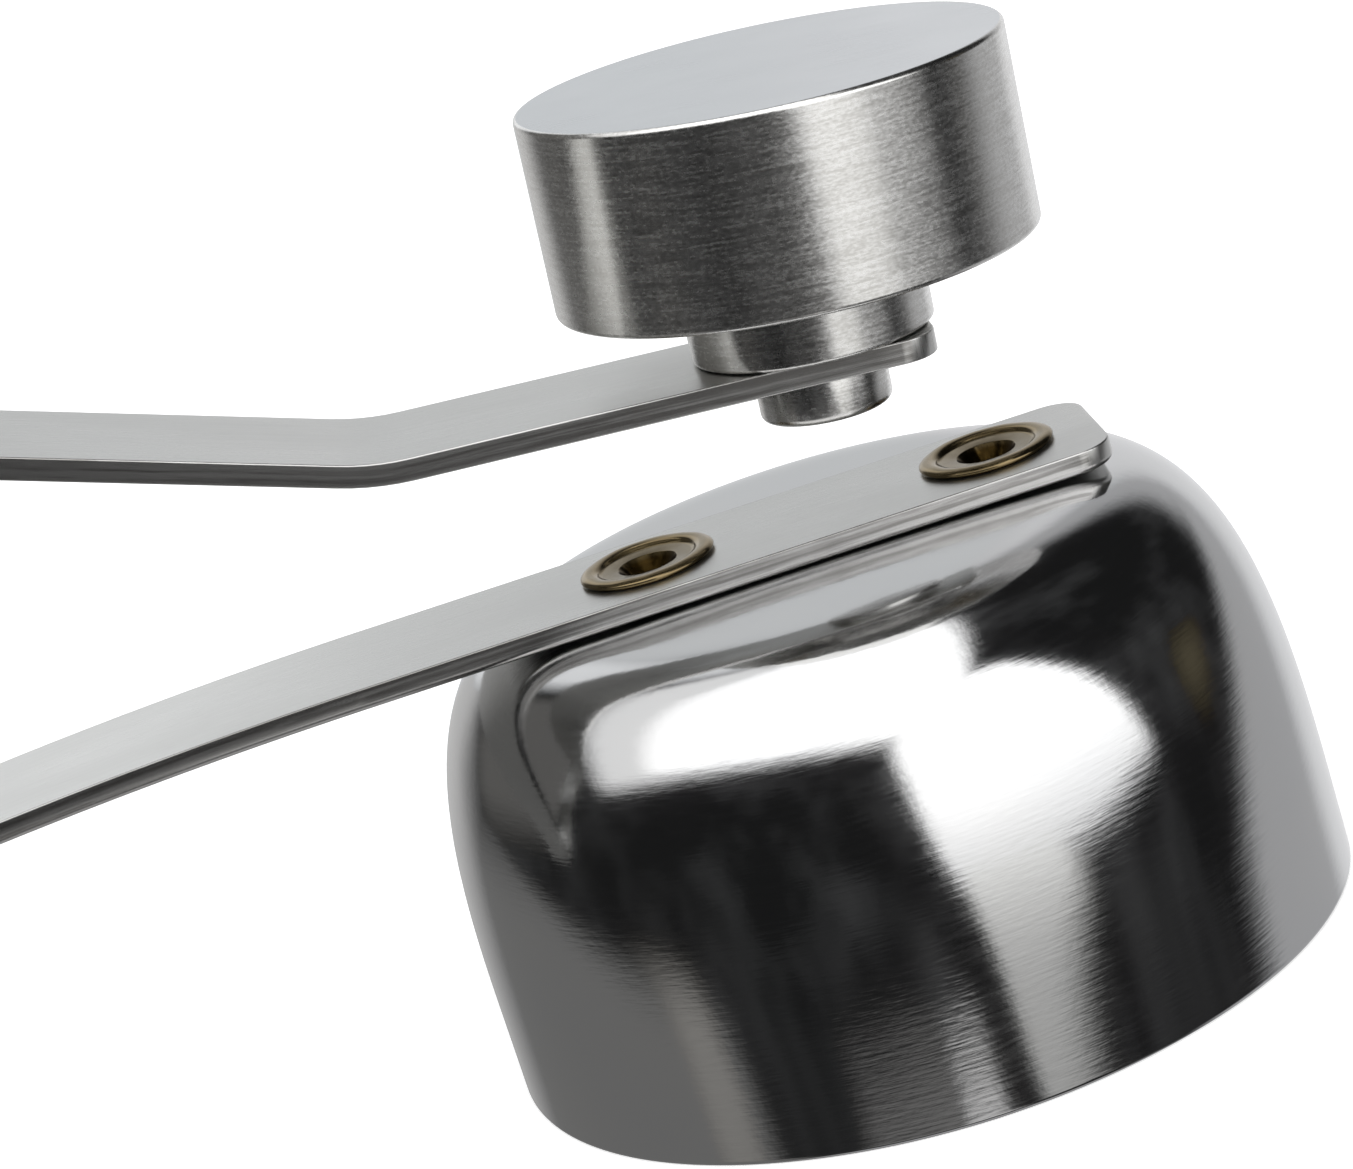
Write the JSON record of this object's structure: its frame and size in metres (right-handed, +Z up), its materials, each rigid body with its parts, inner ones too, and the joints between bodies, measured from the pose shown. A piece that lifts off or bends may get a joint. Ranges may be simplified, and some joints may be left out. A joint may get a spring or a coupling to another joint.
{
  "type": "spring-hammer egg topper",
  "caption": "Egg-shell cracker: a steel cup for the egg's end, with a weighted hammer on a U-shaped flat spring riveted to the cup's crown.",
  "frame": {"origin": "middle of the whole object's length and width, on the plane that the cup's rim rests on", "axes": "+X along the spring, from its bow towards the tips over the cup; +Y across the strip; +Z up, from the rim to the crown"},
  "size_m": [0.1308, 0.038, 0.0554],
  "materials": {
    "polished_steel": "mirror polished with a faint vertical grain",
    "spring_steel": "satin, fine grain along the strip",
    "turned_steel": "turned, fine grain round the axis",
    "rivet_bronze": "antique bronze, worn bright on the crests"
  },
  "bodies": {
    "cup_side": {"cup": "polished_steel", "spring_lower_arm": "spring_steel", "rivet_rear": "rivet_bronze", "rivet_front": "rivet_bronze"},
    "hammer_side": {"spring_upper_arm": "spring_steel", "hammer_weight": "turned_steel", "spacer_collar": "turned_steel", "striker_stud": "turned_steel"}
  },
  "joints": [
    {"name": "hammer_swing", "type": "hinge", "parent": "cup_side", "child": "hammer_side", "pos_m": [-0.06489, 0, 0.03293], "axis": [0, -1, 0], "range_deg": [-1.85, 15], "stiffness_Nm_per_rad": 1.5, "springref_deg": 1.31}
  ]
}
